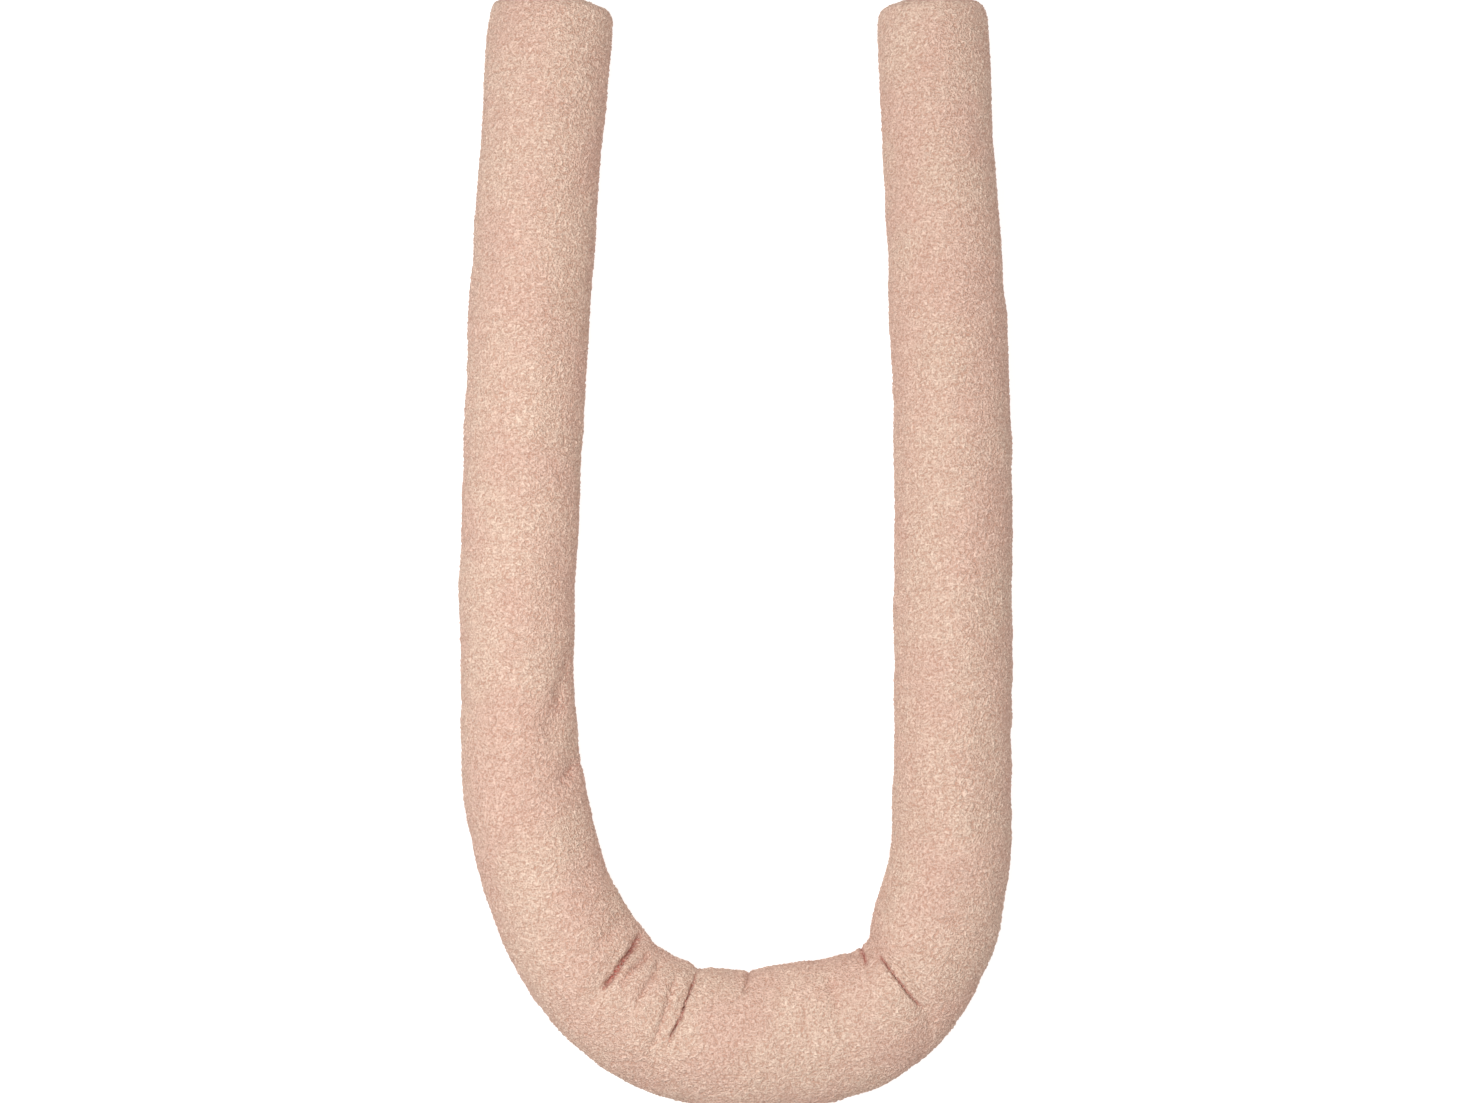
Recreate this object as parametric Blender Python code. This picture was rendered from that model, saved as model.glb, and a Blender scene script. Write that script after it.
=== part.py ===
"""A long filled pillow of curly plush, bent into a U and lying on its back.

Metres, +Z up. The pillow rests on Z = 0, its two open ends point to +Y, and the origin is under the
middle of its box. It is one stuffed tube with a round end panel sewn into each end.
"""

from collections import namedtuple
from math import atan2, cos, degrees, hypot, pi, radians, sin

import bmesh
import bpy
from mathutils import Vector

MM = 0.001

# Driving sizes, in millimetres.
WIDEST_AT = 0.47  # height of the widest line of a section, as a share of the section's height
FLOOR_PRESS = 1.16  # how far the round underside would reach below the floor if nothing pressed it flat
FLOOR_EASE = 1.5  # how softly the round sides run into the flat underside
FOLD_FADE = 38.0  # degrees round the tube in which a fold comes to its full depth
FOLD_SHARP = 0.7  # share of a fold's depth in its narrow V, the rest being a wider dip
FOLD_DIP = 2.4  # how much wider the dip is than the V
SHOULDER_IN = 12.0  # how far the end's rounded shoulder draws in
SHOULDER_LONG = 14.0  # how far the shoulder runs along the pillow
SEAM_DEPTH = 3.2  # how deep the end panel's seam sits behind the shoulder
END_CROWN = 7.0  # how far the filling pushes an end panel out
CROWN_FLAT = 0.17  # share of an end panel's radius that is flat, in its middle
PANEL_THICK = 2.6  # plush cloth of an end panel, with its pile
SEAM_GAP = 0.35  # clearance between an end panel and the filled tube

# The mesh's fineness.
SIDES = 28
SPLINE_STEPS = 24
SHOULDER_RINGS = 5
DOME_RINGS = 3
PLAIN_STEP = 28.0
DIMPLE_STEP = 7.0
BEND_STEP = 4.0

# Sections from the left end round the bend to the right end: the middle of the pillow seen from above,
# how wide it is there and how high it stands.
Section = namedtuple("Section", "x y width height")
SECTIONS = (
    Section(-156.0, 470.0, 106.0, 91.0),
    Section(-159.5, 428.0, 108.5, 93.0),
    Section(-169.5, 301.0, 105.0, 93.0),
    Section(-178.5, 148.0, 105.0, 93.0),
    Section(-185.0, -4.0, 101.5, 92.0),
    Section(-186.0, -94.0, 99.5, 92.0),
    Section(-184.5, -158.0, 101.0, 92.0),
    Section(-178.5, -209.0, 105.0, 92.0),
    Section(-168.5, -259.0, 107.0, 92.0),
    Section(-151.0, -307.0, 108.0, 92.0),
    Section(-125.5, -351.0, 112.0, 91.0),
    Section(-89.0, -387.5, 113.0, 90.0),
    Section(-41.5, -409.0, 119.5, 89.0),
    Section(9.0, -416.0, 121.5, 88.0),
    Section(60.0, -409.5, 126.0, 88.0),
    Section(86.0, -404.5, 121.5, 88.5),
    Section(109.5, -396.0, 118.0, 89.0),
    Section(132.0, -383.0, 109.0, 90.0),
    Section(149.0, -362.5, 108.0, 91.0),
    Section(160.5, -339.0, 109.0, 92.0),
    Section(170.0, -315.0, 110.0, 92.0),
    Section(181.5, -265.0, 104.0, 92.0),
    Section(184.0, -213.0, 103.5, 92.0),
    Section(185.0, -35.0, 102.5, 92.0),
    Section(185.0, 67.0, 102.5, 92.0),
    Section(182.0, 169.0, 101.5, 92.0),
    Section(174.0, 322.0, 98.5, 91.0),
    Section(168.5, 424.0, 96.0, 90.0),
    Section(166.5, 469.0, 95.0, 89.0),
)

# Folds of the bend. start is measured along the pillow from the left end, at the inner edge, and lean is how
# much further along the fold would lie at the outer edge. depth and spread are those of its narrow V. It runs
# from its first angle to its last, in degrees from the inner edge over the top.
Fold = namedtuple("Fold", "start lean depth spread first last")
FOLDS = (
    Fold(545.0, 400.0, 5.0, 20.0, 4.0, 82.0),
    Fold(649.0, 125.0, 4.5, 15.0, 0.0, 78.0),
    Fold(815.0, 19.0, 1.5, 8.0, 0.0, 88.0),
    Fold(842.0, 21.0, 10.0, 8.0, -8.0, 114.0),
    Fold(863.0, -3.0, 4.0, 7.0, -40.0, 88.0),
    Fold(881.0, 11.0, 2.0, 7.0, 0.0, 105.0),
    Fold(907.0, 10.0, 3.0, 6.5, 0.0, 128.0),
    Fold(929.0, -9.0, 8.5, 7.0, -45.0, 118.0),
    Fold(992.0, -54.0, 2.0, 6.0, -20.0, 72.0),
    Fold(1075.0, -9.0, 2.5, 11.0, 15.0, 115.0),
    Fold(1146.0, -110.0, 4.5, 7.0, -15.0, 62.0),
    Fold(1156.0, -31.0, 9.5, 8.0, 10.0, 155.0),
    Fold(1158.0, 0.0, 7.0, 22.0, -75.0, 50.0),
)

# How far the rings of the mesh lean with the folds, by the place along the pillow.
Lean = namedtuple("Lean", "along amount")
RING_LEANS = (
    Lean(730.0, 0.0),
    Lean(845.0, 20.0),
    Lean(905.0, 8.0),
    Lean(929.0, -9.0),
    Lean(1075.0, -9.0),
    Lean(1156.0, -31.0),
    Lean(1250.0, 0.0),
)

# The stretches along the pillow where the mesh is finer, for the soft dimples and for the bend's folds.
DIMPLE_ZONE = (545.0, 715.0)
BEND_ZONE = (800.0, 1215.0)

Place = namedtuple("Place", "along x y dx dy width height")


def through(p0, p1, p2, p3, t):
    """A value on a smooth curve from p1 to p2, for t from 0 to 1."""
    slope_in = 0.5 * (p2 - p0)
    slope_out = 0.5 * (p3 - p1)
    swing = 2 * (p1 - p2) + slope_in + slope_out
    rise = 3 * (p2 - p1) - 2 * slope_in - slope_out
    return p1 + t * (slope_in + t * (rise + t * swing))


def mirrored_row(row, other):
    """The row as far before row as other is after it, with row's own width and height."""
    return row._replace(x=2 * row.x - other.x, y=2 * row.y - other.y)


def make_places():
    """Closely spaced places along the middle of the pillow, with their distance from the left end."""
    rows = [mirrored_row(SECTIONS[0], SECTIONS[1]), *SECTIONS, mirrored_row(SECTIONS[-1], SECTIONS[-2])]
    values = []
    for i in range(1, len(rows) - 2):
        for step in range(SPLINE_STEPS):
            t = step / SPLINE_STEPS
            values.append([through(*column, t) for column in zip(*rows[i - 1 : i + 3])])
    values.append(list(SECTIONS[-1]))
    places = []
    along = 0.0
    for i, (x, y, width, height) in enumerate(values):
        back = values[max(i - 1, 0)]
        ahead = values[min(i + 1, len(values) - 1)]
        if i:
            along += hypot(x - back[0], y - back[1])
        run = hypot(ahead[0] - back[0], ahead[1] - back[1])
        dx, dy = (ahead[0] - back[0]) / run, (ahead[1] - back[1]) / run
        places.append(Place(along, x, y, dx, dy, width, height))
    return places


PLACES = make_places()
LENGTH = PLACES[-1].along


def place_at(along):
    """The place at a distance along the pillow, running straight on past either end."""
    if along <= 0:
        first = PLACES[0]
        return first._replace(x=first.x + along * first.dx, y=first.y + along * first.dy)
    if along >= LENGTH:
        last = PLACES[-1]
        beyond = along - LENGTH
        return last._replace(x=last.x + beyond * last.dx, y=last.y + beyond * last.dy)
    low, high = 0, len(PLACES) - 1
    while high - low > 1:
        middle = (low + high) // 2
        if PLACES[middle].along > along:
            high = middle
        else:
            low = middle
    share = (along - PLACES[low].along) / (PLACES[high].along - PLACES[low].along)
    return Place(*(a + share * (b - a) for a, b in zip(PLACES[low], PLACES[high])))


def smooth(t):
    t = min(1.0, max(0.0, t))
    return t * t * (3 - 2 * t)


def trough(off):
    """The depth of a fold at off spreads from its middle line: a narrow V in a shallow valley."""
    valley = max(0.0, 1.0 - abs(off)) ** 1.5
    dip = smooth(1.0 - abs(off) / FOLD_DIP)
    return FOLD_SHARP * valley + (1 - FOLD_SHARP) * dip


def fold_depth(along, angle):
    """How far all the folds together draw the surface in, at an angle in degrees from the inner edge."""
    drawn_in = 0.0
    for fold in FOLDS:
        if not fold.first < angle < fold.last:
            continue
        middle = fold.start + fold.lean * (1 - cos(radians(angle))) / 2
        fade = smooth((angle - fold.first) / FOLD_FADE) * smooth((fold.last - angle) / FOLD_FADE)
        drawn_in += fold.depth * fade * trough((along - middle) / fold.spread)
    return drawn_in


def pressed(height):
    """The height of a point once the floor at 0 presses it: eased near the floor and flat on it."""
    ease = 2 * FLOOR_EASE
    if height >= ease:
        return height
    if height <= -ease:
        return 0.0
    return (height + ease) ** 2 / (4 * ease)


def section_point(place, angle, along, draw_in=0.0):
    """(sideways, up) in millimetres of a section's point, sideways being towards the inner side.

    draw_in is how far the whole section is drawn in towards its middle, as at the ends' shoulders, where it
    also comes off the floor and turns round.
    """
    half = place.width / 2
    middle = WIDEST_AT * place.height
    turn = radians(angle)
    press = 1 + (FLOOR_PRESS - 1) * max(0.0, 1 - draw_in / SHOULDER_IN)
    reach = place.height - middle if sin(turn) >= 0 else middle * press
    side = half * cos(turn)
    up = pressed(middle + reach * sin(turn)) - middle
    depth = fold_depth(along, angle)
    side -= depth * cos(turn)
    up -= depth * max(0.0, sin(turn))
    shrink = (half - draw_in) / half
    return side * shrink, middle + up * shrink


def lean_at(along):
    """How far further along the outer edge of a ring of the mesh lies than its inner edge."""
    if not RING_LEANS[0].along < along < RING_LEANS[-1].along:
        return 0.0
    for before, after in zip(RING_LEANS, RING_LEANS[1:]):
        if along <= after.along:
            share = (along - before.along) / (after.along - before.along)
            return before.amount + smooth(share) * (after.amount - before.amount)
    return 0.0


def point_at(along, angle, draw_in=0.0):
    """The point of the pillow's surface at a distance along it and an angle round it, in metres."""
    reached = along + lean_at(along) * (1 - cos(radians(angle))) / 2
    place = place_at(reached)
    side, up = section_point(place, angle, reached, draw_in)
    return Vector((place.x - side * place.dy, place.y + side * place.dx, up)) * MM


def steps_between(start, stop, step):
    count = max(1, round((stop - start) / step))
    return [start + (stop - start) * i / count for i in range(count)]


def ring_places():
    """Where the rings of the tube's mesh lie along it, between the two shoulders."""
    stops = (
        (SHOULDER_LONG, DIMPLE_ZONE[0], PLAIN_STEP),
        (*DIMPLE_ZONE, DIMPLE_STEP),
        (DIMPLE_ZONE[1], BEND_ZONE[0], 2 * DIMPLE_STEP),
        (*BEND_ZONE, BEND_STEP),
        (BEND_ZONE[1], LENGTH - SHOULDER_LONG, PLAIN_STEP),
    )
    found = [along for start, stop, step in stops for along in steps_between(start, stop, step)]
    return [*found, LENGTH - SHOULDER_LONG]


def end_rings(end, towards):
    """(along, draw_in) of the rings that close an end of the tube, from the shoulder to the dome's top.

    end is where the rim lies along the pillow, and towards is the way into the pillow, 1 or -1.
    """
    rings = []
    for i in range(1, SHOULDER_RINGS + 1):
        turn = pi / 2 * i / SHOULDER_RINGS
        rings.append((end + towards * SHOULDER_LONG * (1 - sin(turn)), SHOULDER_IN * (1 - cos(turn))))
    rings += dome_rings(end, towards, SEAM_DEPTH, SHOULDER_IN + SEAM_GAP)
    return rings


def dome_rings(end, towards, sunk, edge_in):
    """(along, draw_in) of the rings of a dome whose edge is sunk behind the rim by that much."""
    half = place_at(end).width / 2
    radius = half - edge_in
    rings = []
    for i in range(DOME_RINGS + 1):
        share = 1 - (1 - CROWN_FLAT) * i / DOME_RINGS
        rings.append((end + towards * (sunk - END_CROWN * (1 - share**2)), half - radius * share))
    return rings


def first_ring(mesh, angle_of, ring):
    """A circle of SIDES points at the first ring, each knowing its own place round the ring."""
    bmesh.ops.create_circle(mesh, segments=SIDES, radius=1.0)
    for vert in mesh.verts:
        vert[angle_of] = round(degrees(atan2(vert.co.y, vert.co.x)) * SIDES / 360) % SIDES
    set_ring(mesh.verts, angle_of, ring)
    return list(mesh.edges)


def set_ring(verts, angle_of, ring):
    along, draw_in = ring
    for vert in verts:
        angle = 360.0 * vert[angle_of] / SIDES
        vert.co = point_at(along, angle if angle <= 180.0 else angle - 360.0, draw_in)


def loft(name, rings, material):
    """A closed solid through rings of (along, draw_in), with a flat cap on the first and the last."""
    mesh = bmesh.new()
    angle_of = mesh.verts.layers.int.new("place_round_ring")
    edge_loop = first_ring(mesh, angle_of, rings[0])
    bmesh.ops.contextual_create(mesh, geom=edge_loop)
    for ring in rings[1:]:
        made = bmesh.ops.extrude_edge_only(mesh, edges=edge_loop)["geom"]
        edge_loop = [part for part in made if isinstance(part, bmesh.types.BMEdge)]
        set_ring([part for part in made if isinstance(part, bmesh.types.BMVert)], angle_of, ring)
    bmesh.ops.contextual_create(mesh, geom=edge_loop)
    bmesh.ops.recalc_face_normals(mesh, faces=mesh.faces)
    data = bpy.data.meshes.new(name)
    mesh.to_mesh(data)
    mesh.free()
    data.materials.append(material)
    data.shade_smooth()
    data.set_sharp_from_angle(angle=radians(50))
    made = bpy.data.objects.new(name, data)
    bpy.context.scene.collection.objects.link(made)
    return made


def plush(name, colour):
    material = bpy.data.materials.new(name)
    material.use_nodes = True
    shader = material.node_tree.nodes["Principled BSDF"]
    shader.inputs["Base Color"].default_value = (*colour, 1.0)
    shader.inputs["Roughness"].default_value = 0.95
    shader.inputs["Metallic"].default_value = 0.0
    return material


def make_tube(material):
    """The filled tube from the left end's dome, along the pillow, to the right end's dome."""
    rings = end_rings(0.0, 1)[::-1]
    rings += [(along, 0.0) for along in ring_places()]
    rings += end_rings(LENGTH, -1)
    return loft("pillow", rings, material)


def make_end_panel(name, end, towards, material):
    """A round cloth panel that lies on an end's dome, a seam's gap inside the shoulder."""
    edge_in = SHOULDER_IN + 2 * SEAM_GAP
    under = dome_rings(end, towards, SEAM_DEPTH - SEAM_GAP, edge_in)
    over = dome_rings(end, towards, SEAM_DEPTH - SEAM_GAP - PANEL_THICK, edge_in)
    return loft(name, under[::-1] + over, material)


def main():
    for old in list(bpy.data.objects):
        bpy.data.objects.remove(old)
    make_tube(plush("tube_plush", (0.69, 0.48, 0.38)))
    make_end_panel("end_panel_left", 0.0, 1, plush("left_end_plush", (0.70, 0.49, 0.39)))
    make_end_panel("end_panel_right", LENGTH, -1, plush("right_end_plush", (0.68, 0.47, 0.37)))


main()
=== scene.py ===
# %% [markdown]
# # A long pillow of curly plush, bent into a U
#
# The real pillow is one rectangle of curly plush, sewn into a tube two metres long, stuffed, and closed with
# a round panel at each end. It lies bent into a U, and its bend puckers into a few deep folds. What one sees
# is the pile: thousands of small curls of yarn, a few millimetres across.
#
# The plan follows how the thing is made. A skin is puffed up by cloth simulation inside the CAD solid, folds
# are pressed into it, and then the pile is raised on it as real relief. The frame gives every place and size.

# %% Load the frame
from collections import namedtuple
from math import pi

import bmesh
import bpy
import numpy as np
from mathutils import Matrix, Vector, noise


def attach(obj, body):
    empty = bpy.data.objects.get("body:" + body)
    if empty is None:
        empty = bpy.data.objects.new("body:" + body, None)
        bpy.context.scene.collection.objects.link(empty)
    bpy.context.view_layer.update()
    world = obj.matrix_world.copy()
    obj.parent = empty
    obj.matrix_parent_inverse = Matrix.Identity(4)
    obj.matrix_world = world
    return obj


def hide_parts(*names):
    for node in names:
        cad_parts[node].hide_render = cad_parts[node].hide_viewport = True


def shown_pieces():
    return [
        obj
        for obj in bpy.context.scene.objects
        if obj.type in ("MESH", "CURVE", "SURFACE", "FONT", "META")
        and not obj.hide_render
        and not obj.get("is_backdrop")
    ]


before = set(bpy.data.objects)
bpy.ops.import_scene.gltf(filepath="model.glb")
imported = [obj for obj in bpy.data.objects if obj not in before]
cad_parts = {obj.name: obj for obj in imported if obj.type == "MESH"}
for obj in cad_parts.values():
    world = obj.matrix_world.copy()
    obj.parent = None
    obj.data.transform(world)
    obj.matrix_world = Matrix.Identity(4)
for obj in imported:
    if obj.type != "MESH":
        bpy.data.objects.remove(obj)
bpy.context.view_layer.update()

MM = 0.001
scene = bpy.context.scene

# %% [markdown]
# ## The camera
#
# The photograph looks straight down on the pillow. Its scale is worked out from the pillow's own width, so
# the camera is placed by that scale: one pixel of the photograph is 0.85 mm at half the pillow's height.

# %% Camera
PHOTO_WIDTH = 1470  # pixels
PIXEL = 0.85 * MM  # what a pixel spans at half the pillow's height
LENS = 85.0
SENSOR = 36.0
HALF_HEIGHT = 50 * MM
VIEW_CENTRE = (-0.85 * MM, 1.3 * MM)


def make_camera():
    data = bpy.data.cameras.new("camera")
    data.lens = LENS
    data.sensor_width = SENSOR
    camera = bpy.data.objects.new("camera", data)
    distance = PHOTO_WIDTH * PIXEL * LENS / SENSOR
    camera.location = (*VIEW_CENTRE, HALF_HEIGHT + distance)
    scene.collection.objects.link(camera)
    scene.camera = camera
    return distance


print("camera distance in m:", round(make_camera(), 3))

# %% [markdown]
# ## Floor and light
#
# A product photograph of pale cloth stands on a white that is brighter than the picture can show, so the
# floor glows a little. The rest is soft light from nearly everywhere, with one brighter side: the sky is
# brightest overhead and dimmer and warmer towards the horizon, as light is that has crossed other plush, and
# a wide lamp to the left makes one side of each tube darker than the other, which shows that it is round.

# %% Floor and light
FLOOR_SIZE = 24.0
FLOOR_DROP = 0.2 * MM
FLOOR_GREY = (0.3, 0.3, 0.3, 1.0)
FLOOR_GLOW = (0.86, 0.83, 0.82, 1.0)
FLOOR_ROUGHNESS = 0.9
FLOOR_SPECULAR = 0.1
SKY_UP = Vector((-0.1, 0.12, 1.0)).normalized()  # the sky is brightest this way
SKY_BRIGHT = (1.12, 1.12, 1.12, 1.0)
SKY_DIM = (0.19, 0.11, 0.08, 1.0)
SKY_TURN = -0.2  # where it is dimmest, on a scale from 1 at the brightest place to -1 opposite it
KEY_PLACE = Vector((-0.44, -0.05, 1.6))
KEY_SIZE = 0.8
KEY_POWER = 18.5
STANDARD = "Standard"
MIX_SHARE, MIX_FIRST, MIX_SECOND, MIX_RESULT = 0, 6, 7, 2  # a Mix node's sockets for colours


def make_floor():
    mesh = bmesh.new()
    bmesh.ops.create_grid(mesh, x_segments=1, y_segments=1, size=FLOOR_SIZE / 2)
    bmesh.ops.translate(mesh, verts=mesh.verts, vec=(0, 0, -FLOOR_DROP))
    data = bpy.data.meshes.new("floor")
    mesh.to_mesh(data)
    mesh.free()
    floor = bpy.data.objects.new("floor", data)
    scene.collection.objects.link(floor)
    material = bpy.data.materials.new("white_floor")
    material.use_nodes = True
    shader = material.node_tree.nodes["Principled BSDF"]
    shader.inputs["Base Color"].default_value = FLOOR_GREY
    shader.inputs["Roughness"].default_value = FLOOR_ROUGHNESS
    shader.inputs["Specular IOR Level"].default_value = FLOOR_SPECULAR
    shader.inputs["Emission Color"].default_value = FLOOR_GLOW
    shader.inputs["Emission Strength"].default_value = 1.0
    data.materials.append(material)
    floor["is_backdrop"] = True


def make_light():
    world = bpy.data.worlds.new("white_sky")
    world.use_nodes = True
    tree = world.node_tree
    place = tree.nodes.new("ShaderNodeTexCoord")
    towards = tree.nodes.new("ShaderNodeVectorMath")
    towards.operation = "DOT_PRODUCT"
    towards.inputs[1].default_value = SKY_UP
    share = tree.nodes.new("ShaderNodeMapRange")
    share.inputs["From Min"].default_value = SKY_TURN
    sky = tree.nodes.new("ShaderNodeMix")
    sky.data_type = "RGBA"
    sky.inputs[MIX_FIRST].default_value = SKY_DIM
    sky.inputs[MIX_SECOND].default_value = SKY_BRIGHT
    tree.links.new(place.outputs["Generated"], towards.inputs[0])
    tree.links.new(towards.outputs["Value"], share.inputs["Value"])
    tree.links.new(share.outputs["Result"], sky.inputs[MIX_SHARE])
    tree.links.new(sky.outputs[MIX_RESULT], tree.nodes["Background"].inputs["Color"])
    scene.world = world
    data = bpy.data.lights.new("key", "AREA")
    data.energy = KEY_POWER
    data.size = KEY_SIZE
    lamp = bpy.data.objects.new("key", data)
    lamp.location = KEY_PLACE
    lamp.rotation_euler = (-KEY_PLACE).to_track_quat("-Z", "Y").to_euler()
    scene.collection.objects.link(lamp)
    scene.view_settings.view_transform = STANDARD


make_floor()
make_light()

# %% [markdown]
# ## Small helpers
#
# Most steps read or write all points of a mesh at once. Numpy arrays do that much faster than a loop over
# the vertices, so a few helpers fetch and set them, and one makes what a modifier shows the piece's own mesh.

# %% Helpers
MERGE_DISTANCE = 0.02 * MM  # vertices closer than this are one


def new_piece(name, mesh):
    """An object in the scene from a bmesh, which is used up."""
    data = bpy.data.meshes.new(name)
    mesh.to_mesh(data)
    mesh.free()
    data.shade_smooth()
    piece = bpy.data.objects.new(name, data)
    scene.collection.objects.link(piece)
    return piece


def points_of(data):
    found = np.empty(3 * len(data.vertices), np.float32)
    data.vertices.foreach_get("co", found)
    return found.reshape(-1, 3).astype(float)


def normals_of(data):
    found = np.empty(3 * len(data.vertices), np.float32)
    data.vertices.foreach_get("normal", found)
    return found.reshape(-1, 3).astype(float)


def set_points(data, points):
    data.vertices.foreach_set("co", points.astype(np.float32).ravel())
    data.update()


def write_values(data, name, values):
    """Keeps one number for each point of the mesh, for materials and for Geometry Nodes."""
    layer = data.attributes.get(name) or data.attributes.new(name, "FLOAT", "POINT")
    layer.data.foreach_set("value", values.astype(np.float32))


def shown_mesh(piece):
    graph = bpy.context.evaluated_depsgraph_get()
    evaluated = piece.evaluated_get(graph)
    return bpy.data.meshes.new_from_object(evaluated, preserve_all_data_layers=True, depsgraph=graph)


def settle(piece):
    """Makes what the piece's modifiers show its own mesh."""
    made = shown_mesh(piece)
    old = piece.data
    piece.modifiers.clear()
    piece.data = made
    bpy.data.meshes.remove(old)


def triangles_in(piece):
    return sum(len(face.vertices) - 2 for face in piece.data.polygons)


def merged_copy(node, name):
    """A copy of a CAD node with its loose triangles joined up."""
    mesh = bmesh.new()
    mesh.from_mesh(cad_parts[node].data)
    bmesh.ops.remove_doubles(mesh, verts=mesh.verts, dist=MERGE_DISTANCE)
    return new_piece(name, mesh)


# %% [markdown]
# ## Places on a bent tube
#
# The plush has a direction of its own: its rows run round the tube and its length runs along it, also
# through the bend. A curve through the middle of the pillow, seen from above, gives each point of the skin
# its distance along the tube. The rows in the pile and the split into stretches both use that distance.

# %% The middle line
Stop = namedtuple("Stop", "x y")  # millimetres, seen from above
MIDDLE_STOPS = (
    Stop(-155, 478),
    Stop(-169, 301),
    Stop(-185, -4),
    Stop(-184, -158),
    Stop(-168, -259),
    Stop(-125, -351),
    Stop(-41, -409),
    Stop(60, -409),
    Stop(132, -383),
    Stop(170, -315),
    Stop(184, -213),
    Stop(185, 67),
    Stop(166, 477),
)
STEPS_BETWEEN_STOPS = 16


def middle_line():
    """Points close together on a smooth curve through the stops, in metres."""
    data = bpy.data.curves.new("middle", "CURVE")
    spline = data.splines.new("BEZIER")
    spline.resolution_u = STEPS_BETWEEN_STOPS
    spline.bezier_points.add(len(MIDDLE_STOPS) - 1)
    for point, stop in zip(spline.bezier_points, MIDDLE_STOPS):
        point.co = (stop.x * MM, stop.y * MM, 0)
        point.handle_left_type = point.handle_right_type = "AUTO"
    guide = bpy.data.objects.new("middle", data)
    scene.collection.objects.link(guide)
    line = points_of(guide.to_mesh())[:, :2]
    bpy.data.objects.remove(guide)
    return line


MIDDLE = middle_line()
RUNS = np.diff(MIDDLE, axis=0)
RUN_LENGTHS = np.linalg.norm(RUNS, axis=1)
STARTS = np.concatenate([[0.0], np.cumsum(RUN_LENGTHS)])
LENGTH = STARTS[-1]


def nearest_on(points, line):
    """How far each point is from a line seen from above, and how far along the line its nearest place is."""
    runs = np.diff(line, axis=0)
    lengths = np.linalg.norm(runs, axis=1)
    starts = np.concatenate([[0.0], np.cumsum(lengths)])
    nearest = np.full(len(points), np.inf)
    along = np.zeros(len(points))
    for start, run, length, begun in zip(line, runs, lengths, starts):
        offset = points[:, :2] - start
        share = np.clip(offset @ run / length**2, 0, 1)
        away = np.linalg.norm(offset - share[:, None] * run, axis=1)
        closer = away < nearest
        nearest[closer] = away[closer]
        along[closer] = begun + share[closer] * length
    return nearest, along


print("middle line in m:", round(LENGTH, 3), "with", len(MIDDLE), "points")

# %% [markdown]
# ## The skin
#
# Stuffed cloth is round because the filling pushes it out everywhere but at its folds and seams. The CAD
# solid has the right outline, and the pile will stand on the skin, so the skin starts inside the solid by the
# pile's height and by what it will swell. It is remeshed into even squares and put under pressure for twenty
# frames, as a cloth a little larger than itself, because cloth that can't stretch only turns rounder. The
# folds are held, so the plush puffs up on both sides of each, and so is what lies on the floor.

# %% The folds, seen from above
# A fold's fifth column is how strongly painted shade darkens it, from 0 to 1.
Crease = namedtuple("Crease", "name width depth lip red points")  # millimetres, points seen from above
CREASES = (
    Crease("left_deep", 3.2, 4.4, 1.1, 1.0, ((-79, -321), (-84, -328), (-90, -337), (-98, -348), (-104, -357),
                                            (-109, -363), (-117, -370))),
    Crease("left_second", 4.2, 3.5, 0.8, 0.25, ((-70, -336), (-76, -341), (-86, -350), (-100, -366))),
    Crease("left_third", 4.0, 2.5, 0.5, 0.1, ((-62, -343), (-74, -363), (-85, -381))),
    Crease("left_fourth", 3.6, 2.3, 0.6, 0.2, ((-48, -352), (-52, -363), (-61, -391), (-66, -405),
                                               (-72, -419))),
    Crease("left_fine", 1.7, 4.0, 0.8, 1.0, ((-32, -354), (-37, -366), (-43, -380), (-46, -390), (-53, -402),
                                             (-58, -414))),
    Crease("middle_nick", 2.6, 3.0, 0.4, 0.1, ((12, -354), (9, -365), (5, -374))),
    Crease("middle_dip", 7.0, 2.2, 0.3, 0.15, ((79, -356), (82, -369), (85, -378), (88, -392))),
    Crease("right_short", 2.4, 3.0, 0.7, 1.0, ((106, -334), (108, -341), (111, -349))),
    Crease("right_deep", 1.8, 4.0, 0.9, 1.0, ((118, -335), (122, -341), (129, -350), (138, -361), (149, -375),
                                             (160, -385))),
    Crease("left_upper_dent", 9.0, 2.0, 0.4, 0.2, ((-143, -80), (-144, -100), (-148, -122), (-153, -143))),
    Crease("left_lower_dent", 8.0, 2.0, 0.4, 0.2, ((-134, -174), (-140, -184), (-149, -197))),
    Crease("left_bend_dent", 9.0, 1.6, 0.3, 0.1, ((-92, -305), (-103, -319), (-118, -334))),
)
CREASE_RISE = 25 * MM  # folds stay above this height
CREASE_FADE = 10 * MM  # and come to their full depth this much higher
CREASE_END = 0.22  # share of a fold's length in which it comes to its full depth


def ease(t):
    t = np.clip(t, 0, 1)
    return t * t * (3 - 2 * t)


def crease_places(points, crease):
    """Each point's distance from a fold's line seen from above, and how strong the fold is there, 0 to 1."""
    line = np.array(crease.points, float) * MM
    away, along = nearest_on(points, line)
    share = along / np.linalg.norm(np.diff(line, axis=0), axis=1).sum()
    above = ease((points[:, 2] - CREASE_RISE) / CREASE_FADE)
    return away, ease(share / CREASE_END) * ease((1 - share) / CREASE_END) * above


def near_creases(points, spread):
    """1 on a fold's line, falling to 0 at spread times its width."""
    found = np.zeros(len(points))
    for crease in CREASES:
        away, strength = crease_places(points, crease)
        found = np.maximum(found, ease(1 - away / (spread * crease.width * MM)) * strength)
    return found


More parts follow.
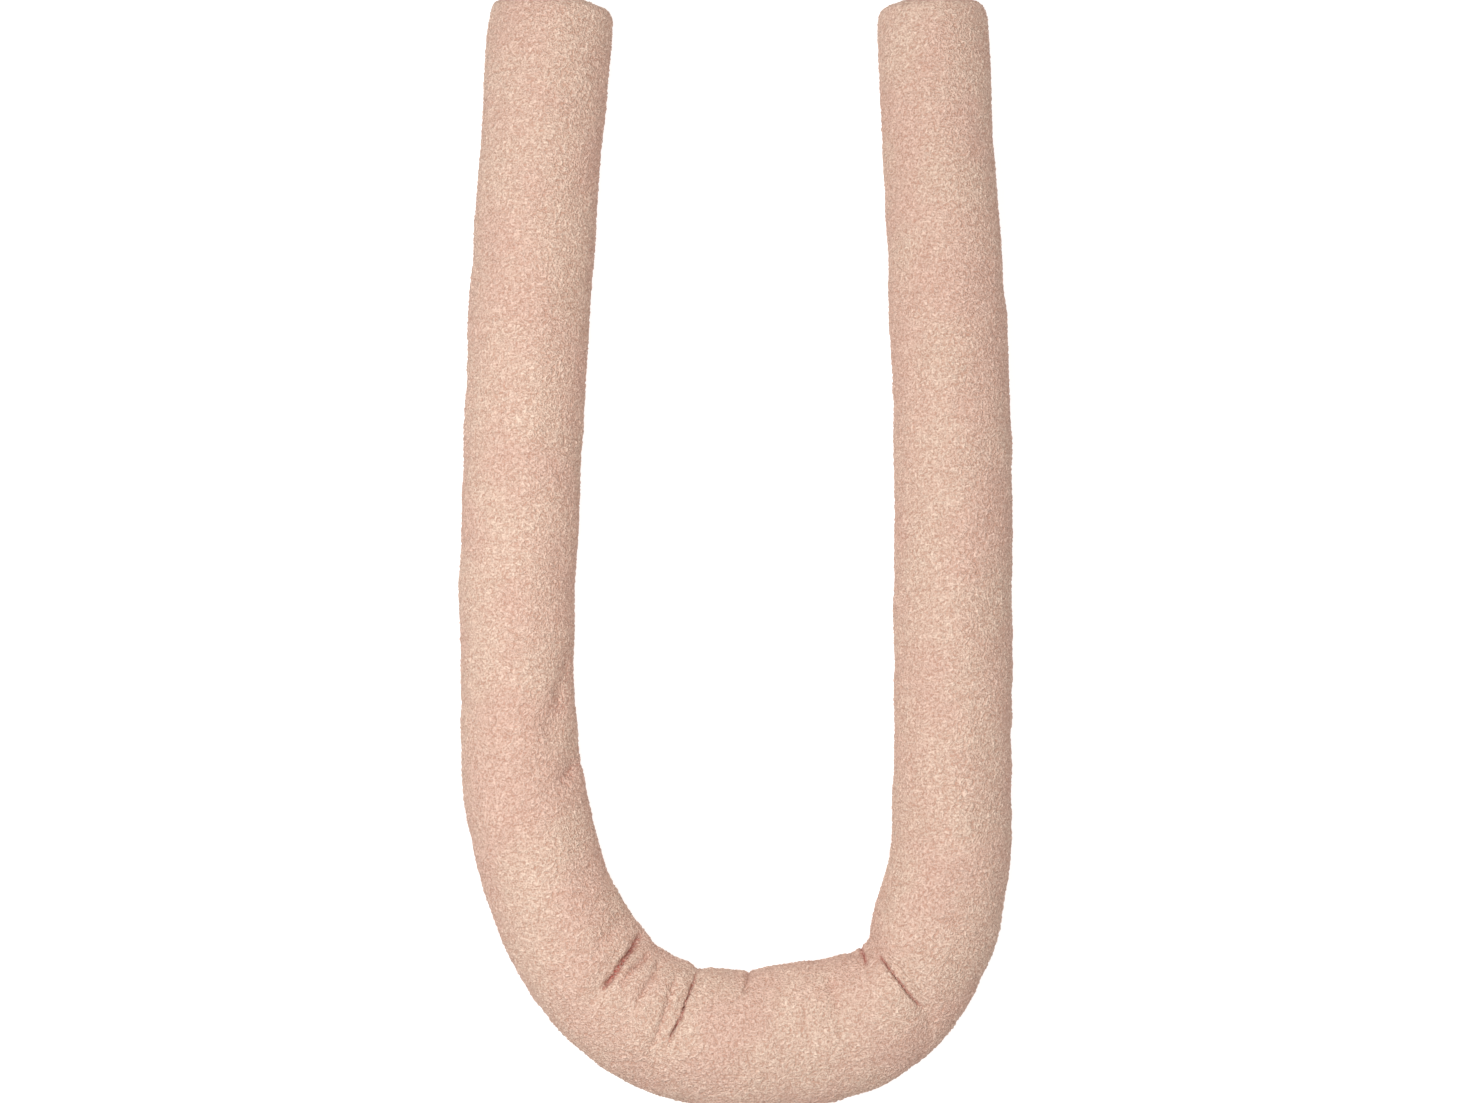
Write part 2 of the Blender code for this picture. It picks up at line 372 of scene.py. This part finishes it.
# %% The skin, puffed up
PILE_HEIGHT = 1.1 * MM
SWELL = 2.2 * MM  # how far the pressure pushes the skin out
LEAST_SWELL = 1.4 * MM
VOXEL = 5.4 * MM
SPARE_CLOTH = 0.07  # share by which the cloth is larger than the skin
CLOTH_MASS = 0.01
CLOTH_QUALITY = 5
PRESSURE = 60.0
SIM_FRAMES = 20
LYING = 14 * MM  # what is lower than this lies on the floor
LYING_FADE = 4 * MM
HOLD_REACH = 2.0  # how far from a fold the skin is held, in widths of the fold
LEAST_HOLD = 0.1
SPREAD_SHOWN = (2, 50, 98)  # percentiles


def shrink(piece, distance):
    data = piece.data
    set_points(data, points_of(data) - distance * normals_of(data))


def remesh(piece, voxel):
    modifier = piece.modifiers.new("even_squares", "REMESH")
    modifier.mode = "VOXEL"
    modifier.voxel_size = voxel
    modifier.use_smooth_shade = True
    settle(piece)


def puff_up(piece, least, most):
    """Runs the piece as cloth under pressure, its folds held, and swells it by what each point moves."""
    rest, normals = points_of(piece.data), normals_of(piece.data)
    held = piece.vertex_groups.new(name="held")
    resting = ease((LYING - rest[:, 2]) / LYING_FADE)
    for index, weight in enumerate(np.maximum(near_creases(rest, HOLD_REACH), resting)):
        if weight > LEAST_HOLD:
            held.add([index], float(weight), "REPLACE")
    cloth = piece.modifiers.new("stuffing", "CLOTH")
    cloth.settings.quality = CLOTH_QUALITY
    cloth.settings.mass = CLOTH_MASS
    cloth.settings.shrink_min = -SPARE_CLOTH
    cloth.settings.use_pressure = True
    cloth.settings.uniform_pressure_force = PRESSURE
    cloth.settings.effector_weights.gravity = 0.0
    cloth.settings.vertex_group_mass = held.name
    for frame_number in range(1, SIM_FRAMES + 1):
        scene.frame_set(frame_number)
    swollen = shown_mesh(piece)
    push = points_of(swollen) - rest
    bpy.data.meshes.remove(swollen)
    piece.modifiers.clear()
    piece.vertex_groups.clear()
    scene.frame_set(1)
    swelling = np.clip(np.sum(push * normals, axis=1), least + (most - least) * resting, most)
    set_points(piece.data, rest + swelling[:, None] * normals)
    return swelling


skin = merged_copy("pillow", "skin")
shrink(skin, PILE_HEIGHT + SWELL)
remesh(skin, VOXEL)
swelling = puff_up(skin, LEAST_SWELL, SWELL)
shown = np.percentile(swelling, SPREAD_SHOWN)
print("swelling in mm, least, middle and most:", np.round(shown / MM, 1))
print("skin points:", len(skin.data.vertices))

# %% [markdown]
# ## Unevenness and folds
#
# Filling is never quite even, so soft noise moves the skin in and out by about a millimetre. Then the skin
# is subdivided twice, to squares smaller than a curl of the pile, and each point near a fold is pushed in
# along its own normal, by a narrow V with a soft lip on either side.

# %% Unevenness
LUMP_SIZE = 60 * MM
LUMP_DEPTH = 1.4 * MM
PUCKER_SIZE = 20 * MM
PUCKER_DEPTH = 0.9 * MM
PUCKER_SHIFT = Vector((7, 3, 5))  # so that puckers and lumps don't follow each other
SKIN_LEVELS = 2


def add_lumps(piece):
    """The filling's soft unevenness, and small puckers of the plush."""
    data = piece.data
    points, normals = points_of(data), normals_of(data)
    push = np.empty(len(points))
    for index, place in enumerate(points):
        wide = noise.noise(Vector(place) / LUMP_SIZE)
        fine = noise.noise(Vector(place) / PUCKER_SIZE + PUCKER_SHIFT)
        push[index] = LUMP_DEPTH * wide + PUCKER_DEPTH * fine
    set_points(data, points + push[:, None] * normals)


def subdivide(piece, levels):
    modifier = piece.modifiers.new("finer", "SUBSURF")
    modifier.levels = modifier.render_levels = levels
    settle(piece)


add_lumps(skin)
subdivide(skin, SKIN_LEVELS)
print("skin triangles:", triangles_in(skin))

# %% Folds
WAVER = 0.9 * MM  # how far a fold wanders from its line
WAVER_SIZE = 7 * MM
CREASE_BREAKS = 0.7  # how much a fold's depth varies along it
CREASE_REACH = 4.0  # widths of a fold
VALLEY_CURVE = 1.2  # 1 is a straight V, and more is sharper at its bottom
LIP_PLACE = 1.7  # widths from the fold's line
LIP_SPREAD = 0.8


def wavers(points, near):
    """Noise from about -0.5 to 0.5 at the points that are near a fold, and 0 elsewhere."""
    found = np.zeros(len(points))
    for index in np.flatnonzero(near):
        found[index] = noise.noise(Vector(points[index]) / WAVER_SIZE)
    return found


def press_creases(piece):
    data = piece.data
    points, normals = points_of(data), normals_of(data)
    push = np.zeros(len(points))
    for crease in CREASES:
        away, strength = crease_places(points, crease)
        width = crease.width * MM
        waver = wavers(points, away < CREASE_REACH * width)
        away = np.abs(away + WAVER * waver)
        valley = np.maximum(0.0, 1 - away / width) ** VALLEY_CURVE * (1 + CREASE_BREAKS * waver)
        lip = np.exp(-(((away - LIP_PLACE * width) / (LIP_SPREAD * width)) ** 2))
        push += MM * strength * (crease.lip * lip - crease.depth * valley)
    set_points(data, points + push[:, None] * normals)


press_creases(skin)

# %% [markdown]
# ## What each point knows
#
# The pile and its material need three numbers at each point: how much painted shade darkens a fold there,
# how high the pile stands, and how far along the tube the point is. They are written on the skin once, and
# Geometry Nodes and the material read them by name.

# %% Numbers on the skin
SHADE_AND_PILE_REACH = 1.1  # how far a fold's painted shade and its lower pile reach, in widths of the fold
FOLD_PILE = 0.8  # share of the pile's height that is left in the middle of a fold
UNDER_PILE = 0.5  # and on the underside, where the floor presses it flat
UNDERSIDE = 6 * MM
UNDERSIDE_FADE = 3 * MM


def describe(piece):
    data = piece.data
    points = points_of(data)
    # how strongly painted shade darkens the folds at each point
    red = np.zeros(len(points))
    for crease in CREASES:
        away, strength = crease_places(points, crease)
        inside = ease(SHADE_AND_PILE_REACH - away / (SHADE_AND_PILE_REACH * crease.width * MM))
        red = np.maximum(red, crease.red * strength * inside)
    write_values(data, "crease", red)
    in_fold = near_creases(points, SHADE_AND_PILE_REACH)
    under = ease((UNDERSIDE - points[:, 2]) / UNDERSIDE_FADE)
    write_values(data, "pile_height", (1 - (1 - FOLD_PILE) * in_fold) * (1 - (1 - UNDER_PILE) * under))
    write_values(data, "along", nearest_on(points, MIDDLE)[1])


describe(skin)

# %% [markdown]
# ## Node helpers
#
# The same noise nodes work in Geometry Nodes and in materials, so a few helpers that make them serve both
# trees and keep them short to read.


# %% Node helpers
def add_node(tree, kind, **settings):
    made = tree.nodes.new(kind)
    for name, value in settings.items():
        setattr(made, name, value)
    return made


def plug(tree, socket, value):
    """Links a socket to the input, or sets the input to a plain value."""
    if isinstance(value, bpy.types.NodeSocket):
        tree.links.new(value, socket)
    else:
        socket.default_value = value


def math(tree, operation, first, second=0.0):
    made = add_node(tree, "ShaderNodeMath", operation=operation)
    plug(tree, made.inputs[0], first)
    plug(tree, made.inputs[1], second)
    return made.outputs["Value"]


def vector_math(tree, operation, first, second):
    made = add_node(tree, "ShaderNodeVectorMath", operation=operation)
    plug(tree, made.inputs[0], first)
    plug(tree, made.inputs["Scale" if operation == "SCALE" else 1], second)
    return made.outputs["Vector"]


def fitted(tree, value, low, high, new_low=0.0, new_high=1.0):
    """The value, with low to high stretched to new_low to new_high and held there."""
    made = add_node(tree, "ShaderNodeMapRange", interpolation_type="SMOOTHSTEP")
    plug(tree, made.inputs["Value"], value)
    for name, number in (("From Min", low), ("From Max", high), ("To Min", new_low), ("To Max", new_high)):
        made.inputs[name].default_value = number
    return made.outputs["Result"]


def noise_at(tree, where, size, detail=1.0, bend=0.0, colour=False):
    """Noise whose waves are about size metres long."""
    made = add_node(tree, "ShaderNodeTexNoise")
    plug(tree, made.inputs["Vector"], where)
    made.inputs["Scale"].default_value = 1 / size
    made.inputs["Detail"].default_value = detail
    made.inputs["Distortion"].default_value = bend
    return made.outputs["Color" if colour else "Fac"]


def nubs_at(tree, where, size, softness):
    """The distance to the nearest of points about size metres apart: 0 on a nub, and high between them."""
    made = add_node(tree, "ShaderNodeTexVoronoi", feature="SMOOTH_F1")
    plug(tree, made.inputs["Vector"], where)
    made.inputs["Scale"].default_value = 1 / size
    made.inputs["Smoothness"].default_value = softness
    return made.outputs["Distance"]


# %% [markdown]
# ## The pile's relief
#
# The yarn is brushed up and steamed until it curls, so the pile is a dense field of nubs three millimetres
# apart, split by short bent gaps. Separate curls would either leave the cloth bare between them or need
# millions of faces. So the skin itself is raised: cells of noise, their places bent by a second noise, give
# the nubs, and a third noise breaks them into curls. Where the cloth was rolled, thin broken rows lie lower.
# Each point also keeps how deep it lies, for the painted shade in the valleys between the nubs.

# %% The relief
RELIEF = 1.55 * MM
NUB_SIZE = 3.0 * MM
NUB_SOFTNESS = 0.4
NUB_SHARE = 0.66  # share of the relief that the nubs give
NUB_EDGES = (0.05, 0.6)  # from a nub's top to the gap round it, in nub sizes
BEND = 2.6 * MM  # how far the nubs are moved from their cells
BEND_SIZE = 0.9 * NUB_SIZE
BREAK_SHARE = 0.34  # share of the relief that breaks in the nubs give
BREAK_SIZE = 0.6 * NUB_SIZE
BREAK_BEND = 0.8
BREAK_EDGES = (0.3, 0.7)  # what noise counts as a break, and what as none
ROW_SIZE = 17 * MM  # from one row to the next
ROW_WIDTH = 1.3 * MM
ROW_DEPTH = 0.4  # share of the pile's height that a row takes away
ROW_SWAY = 14 * MM  # how far a row wanders
ROW_SWAY_SIZE = 16 * MM
ROW_BREAK_SIZE = 12 * MM
ROW_BREAK_EDGES = (0.45, 0.6)
FLAT_ON_FLOOR = 0.15 * MM


def curl_pattern(tree, place):
    """The height of the pile, from 0 to 1."""
    bend = noise_at(tree, place, BEND_SIZE, 0.0, colour=True)
    bend = vector_math(tree, "SUBTRACT", bend, (0.5, 0.5, 0.5))
    bent = vector_math(tree, "ADD", place, vector_math(tree, "SCALE", bend, BEND))
    nubs = fitted(tree, nubs_at(tree, bent, NUB_SIZE, NUB_SOFTNESS), *NUB_EDGES, 1.0, 0.0)
    breaks = fitted(tree, noise_at(tree, place, BREAK_SIZE, 1.0, BREAK_BEND), *BREAK_EDGES)
    nubs = math(tree, "MULTIPLY", nubs, NUB_SHARE)
    return math(tree, "ADD", nubs, math(tree, "MULTIPLY", breaks, BREAK_SHARE))


def rows_across(tree, place, along):
    """1 on thin broken lines across the tube, where the cloth was rolled and bent, and 0 between them."""
    sway = math(tree, "MULTIPLY", noise_at(tree, place, ROW_SWAY_SIZE, 1.0), ROW_SWAY)
    cells = add_node(tree, "ShaderNodeTexVoronoi", voronoi_dimensions="1D", feature="DISTANCE_TO_EDGE")
    plug(tree, cells.inputs["W"], math(tree, "ADD", along, sway))
    cells.inputs["Scale"].default_value = 1 / ROW_SIZE
    line = fitted(tree, cells.outputs["Distance"], 0.0, ROW_WIDTH / ROW_SIZE, 1.0, 0.0)
    broken = fitted(tree, noise_at(tree, place, ROW_BREAK_SIZE, 1.0), *ROW_BREAK_EDGES)
    return math(tree, "MULTIPLY", line, broken)


def named(tree, name):
    made = add_node(tree, "GeometryNodeInputNamedAttribute", data_type="FLOAT")
    made.inputs["Name"].default_value = name
    return made.outputs["Attribute"]


def raising_nodes():
    tree = bpy.data.node_groups.new("raise_pile", "GeometryNodeTree")
    tree.interface.new_socket("Cloth", in_out="INPUT", socket_type="NodeSocketGeometry")
    tree.interface.new_socket("Plush", in_out="OUTPUT", socket_type="NodeSocketGeometry")
    link = tree.links.new
    given = add_node(tree, "NodeGroupInput")
    place = add_node(tree, "GeometryNodeInputPosition").outputs["Position"]
    rows = math(tree, "MULTIPLY", rows_across(tree, place, named(tree, "along")), -ROW_DEPTH)
    pattern = math(tree, "MAXIMUM", math(tree, "ADD", curl_pattern(tree, place), rows), 0.0)
    # how deep each point lies, which the material turns into painted shade
    deep = add_node(tree, "GeometryNodeStoreNamedAttribute", data_type="FLOAT", domain="POINT")
    deep.inputs["Name"].default_value = "depth"
    link(given.outputs["Cloth"], deep.inputs["Geometry"])
    link(math(tree, "SUBTRACT", 1.0, pattern), deep.inputs["Value"])
    height = math(tree, "MULTIPLY", math(tree, "MULTIPLY", pattern, RELIEF), named(tree, "pile_height"))
    normal = add_node(tree, "GeometryNodeInputNormal").outputs["Normal"]
    raised = add_node(tree, "GeometryNodeSetPosition")
    link(deep.outputs["Geometry"], raised.inputs["Geometry"])
    link(vector_math(tree, "SCALE", normal, height), raised.inputs["Offset"])
    link(raised.outputs["Geometry"], add_node(tree, "NodeGroupOutput").inputs["Plush"])
    return tree


RAISING = raising_nodes()


def raise_pile(piece):
    modifier = piece.modifiers.new("pile", "NODES")
    modifier.node_group = RAISING
    settle(piece)
    points = points_of(piece.data)
    points[:, 2] = np.maximum(points[:, 2], FLAT_ON_FLOOR)
    set_points(piece.data, points)


raise_pile(skin)

# %% [markdown]
# ## Materials
#
# The plush is matt. Its colour is lightest at the tips of its curls, and painted shade makes it rosier and
# darker between them, where light reaches it only through other curls. Soft patches of the pillow are
# pinker or more beige, and painted shade turns the insides of the folds dark pink. Bumps too fine for the
# mesh are the yarn of each curl and its fibres. All of it comes from attributes and from Object coordinates,
# so that it stays on the cloth from any side.

# %% Materials
TIP_BEIGE = (0.82, 0.64, 0.52, 1.0)
TIP_PINK = (0.80, 0.58, 0.48, 1.0)
# painted shade: the dark rose that stands for the shade between the curls and in the gaps of the yarn
PAINTED_PILE_SHADE = (0.45, 0.23, 0.16, 1.0)
# painted shade: the dark pink that stands for the shade inside the folds
PAINTED_FOLD_SHADE = (0.50, 0.15, 0.12, 1.0)
PATCH_SIZE = 60 * MM
PATCH_EDGES = (0.35, 0.65)  # what noise counts as beige, and what as pink
DEEP_SHADE_SHARE = 0.35  # how much painted shade darkens the valleys between the nubs
DEEP_EDGES = (0.45, 1.0)
YARN_SIZE = 1.5 * MM
YARN_BEND = 0.4
YARN_EDGES = (0.25, 0.75)
YARN_GAP = (0.9, 0.1)  # from the top of a yarn to the gap beside it
GAP_SHADE_SHARE = 0.45  # how much painted shade darkens the gaps between the yarns
LEAST_FOLD_SHADE = 0.35  # share of a fold's painted shade that is left on top of a yarn
YARN_BUMP = 1.1 * MM
FIBRE_SIZE = 0.5 * MM
FIBRE_BUMP = 0.2 * MM
FIBRE_STRENGTH = 0.5
PLUSH_ROUGHNESS = 0.92
PLUSH_SPECULAR = 0.12
SHEEN = 0.06
SHEEN_ROUGHNESS = 0.5
SHEEN_TINT = (1.0, 0.9, 0.84, 1.0)


def attribute(tree, name):
    return add_node(tree, "ShaderNodeAttribute", attribute_name=name).outputs["Fac"]


def mix_colours(tree, share, first, second):
    made = add_node(tree, "ShaderNodeMix", data_type="RGBA")
    plug(tree, made.inputs[MIX_SHARE], share)
    plug(tree, made.inputs[MIX_FIRST], first)
    plug(tree, made.inputs[MIX_SECOND], second)
    return made.outputs[MIX_RESULT]


def bumped(tree, height, distance, strength, under=None):
    made = add_node(tree, "ShaderNodeBump")
    made.inputs["Strength"].default_value = strength
    made.inputs["Distance"].default_value = distance
    plug(tree, made.inputs["Height"], height)
    if under is not None:
        plug(tree, made.inputs["Normal"], under)
    return made.outputs["Normal"]


def plush_material(name):
    material = bpy.data.materials.new(name)
    material.use_nodes = True
    tree = material.node_tree
    shader = tree.nodes["Principled BSDF"]
    place = add_node(tree, "ShaderNodeTexCoord").outputs["Object"]
    patches = fitted(tree, noise_at(tree, place, PATCH_SIZE, 2.0), *PATCH_EDGES)
    tips = mix_colours(tree, patches, TIP_BEIGE, TIP_PINK)
    yarn = fitted(tree, noise_at(tree, place, YARN_SIZE, 1.0, YARN_BEND), *YARN_EDGES)
    # painted shade: the gaps between the yarns and the valleys between the nubs are mixed towards the dark
    # rose
    gaps = fitted(tree, yarn, *YARN_GAP, 0.0, GAP_SHADE_SHARE)
    deep = fitted(tree, attribute(tree, "depth"), *DEEP_EDGES, 0.0, DEEP_SHADE_SHARE)
    body = mix_colours(tree, math(tree, "ADD", deep, gaps), tips, PAINTED_PILE_SHADE)
    # painted shade in the folds, strongest in the gaps between the yarns
    red = math(tree, "MULTIPLY", attribute(tree, "crease"), fitted(tree, yarn, *YARN_GAP, LEAST_FOLD_SHADE, 1.0))
    tree.links.new(mix_colours(tree, red, body, PAINTED_FOLD_SHADE), shader.inputs["Base Color"])
    curls = bumped(tree, yarn, YARN_BUMP, 1.0)
    fibres = bumped(tree, noise_at(tree, place, FIBRE_SIZE, 2.0), FIBRE_BUMP, FIBRE_STRENGTH, curls)
    tree.links.new(fibres, shader.inputs["Normal"])
    shader.inputs["Roughness"].default_value = PLUSH_ROUGHNESS
    shader.inputs["Specular IOR Level"].default_value = PLUSH_SPECULAR
    shader.inputs["Sheen Weight"].default_value = SHEEN
    shader.inputs["Sheen Roughness"].default_value = SHEEN_ROUGHNESS
    shader.inputs["Sheen Tint"].default_value = SHEEN_TINT
    return material


plush = plush_material("curly_plush")
skin.data.materials.clear()
skin.data.materials.append(plush)

# %% [markdown]
# ## The plush in stretches
#
# The raised skin is too heavy for one piece, so it is cut square across the tube into stretches, and each
# is closed again with a cap that nobody sees. The cuts keep clear of the deep folds.

# %% Stretches
STRETCH_NAMES = ("left_top", "left_middle", "left_bend", "right_bend", "right_middle", "right_top")
CUT_MARGIN = 15 * MM
CUT_TOLERANCE = 0.001 * MM
PAST_THE_ENDS = 1.0  # in metres, so that nothing is cut off there


def cut_at(mesh, along, keep):
    """Cuts the mesh square across the tube. keep is 1 to keep what comes after the cut, and -1 for before."""
    index = int(np.searchsorted(STARTS, along)) - 1
    run = RUNS[index] / RUN_LENGTHS[index]
    place = MIDDLE[index] + (along - STARTS[index]) * run
    geom = [*mesh.verts, *mesh.edges, *mesh.faces]
    made = bmesh.ops.bisect_plane(mesh, geom=geom, dist=CUT_TOLERANCE, plane_co=(*place, 0), clear_inner=True,
                                  plane_no=(keep * run[0], keep * run[1], 0))
    edges = [part for part in made["geom_cut"] if isinstance(part, bmesh.types.BMEdge)]
    bmesh.ops.contextual_create(mesh, geom=edges)
    for edge in edges:
        edge.smooth = False


def make_stretch(name, first, last, alongs):
    """A closed piece of the plush, between two distances along the tube."""
    mesh = bmesh.new()
    mesh.from_mesh(skin.data)
    low, high = first - CUT_MARGIN, last + CUT_MARGIN
    outside = [vert for vert, along in zip(mesh.verts, alongs) if not low < along < high]
    bmesh.ops.delete(mesh, geom=outside, context="VERTS")
    if first > 0:
        cut_at(mesh, first, 1)
    if last < LENGTH:
        cut_at(mesh, last, -1)
    bmesh.ops.triangulate(mesh, faces=[face for face in mesh.faces if len(face.verts) > 4])
    data = bpy.data.meshes.new(name)
    mesh.to_mesh(data)
    mesh.free()
    piece = bpy.data.objects.new(name, data)
    scene.collection.objects.link(piece)
    data.materials.append(plush)
    return piece


alongs = nearest_on(points_of(skin.data), MIDDLE)[1].tolist()
plushes = []
for number, name in enumerate(STRETCH_NAMES):
    first, last = (LENGTH * share / len(STRETCH_NAMES) for share in (number, number + 1))
    if number == 0:
        first = -PAST_THE_ENDS
    if number == len(STRETCH_NAMES) - 1:
        last = LENGTH + PAST_THE_ENDS
    plushes.append(make_stretch(f"plush_{name}", first, last, alongs))
    print(plushes[-1].name, "triangles:", triangles_in(plushes[-1]))
bpy.data.objects.remove(skin)

# %% [markdown]
# ## The end panels
#
# Each end is closed by a round panel of the same plush, pushed out a little by the filling. The CAD node has
# its true dome, so a copy of it is made finer and gets the same relief. It is sunk by two millimetres, so
# that its edge lies in the tube's shoulder as a sewn edge does, and the two meet in a soft valley. Its pile
# stands only where the panel faces out.

# %% End panels
PANEL_SUNK = 2.0 * MM
PANEL_LEVELS = 3
FACES_OUT = -0.1  # pile begins where the normal's share along the way out is this
FACES_OUT_FADE = 0.3


def make_panel(side, out):
    """An end panel. out is the way out of the tube at that end, seen from above."""
    axis = np.array((*out, 0.0)) / np.linalg.norm(out)
    panel = merged_copy(f"end_panel_{side}", f"panel_{side}")
    subdivide(panel, PANEL_LEVELS)
    data = panel.data
    points, normals = points_of(data), normals_of(data)
    set_points(data, points - PANEL_SUNK * axis)
    write_values(data, "crease", np.zeros(len(points)))
    write_values(data, "along", np.zeros(len(points)))
    write_values(data, "pile_height", ease((normals @ axis - FACES_OUT) / FACES_OUT_FADE))
    raise_pile(panel)
    panel.data.materials.clear()
    panel.data.materials.append(plush)
    return panel


panels = [make_panel("left", -RUNS[0]), make_panel("right", RUNS[-1])]
print("panel triangles:", [triangles_in(panel) for panel in panels])

# %% [markdown]
# ## Hand over
#
# Every piece rides on the pillow's one body. The stretches stand for the filled tube and each panel stands
# for its CAD node, so those nodes are hidden.

# %% Hand over
for piece in plushes:
    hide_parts("pillow")
for panel, side, resting in zip(panels, ("left", "right"), (plushes[0], plushes[-1])):
    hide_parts(f"end_panel_{side}")
for piece in [*plushes, *panels]:
    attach(piece, "root")

# %% [markdown]
# ## A last look
#
# Each mesh has to be closed, with its normals out, so each is measured: an open edge joins fewer or more than
# two faces, and the volume inside is negative where normals point in.

# %% A last look
CUBIC_DM = 0.001  # in cubic metres


def open_edges_and_volume(piece):
    mesh = bmesh.new()
    mesh.from_mesh(piece.data)
    count = sum(len(edge.link_faces) != 2 for edge in mesh.edges)
    volume = mesh.calc_volume(signed=True)
    mesh.free()
    return count, volume


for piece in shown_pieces():
    count, volume = open_edges_and_volume(piece)
    print(piece.name, "open edges:", count, "litres inside:", round(volume / CUBIC_DM, 2))
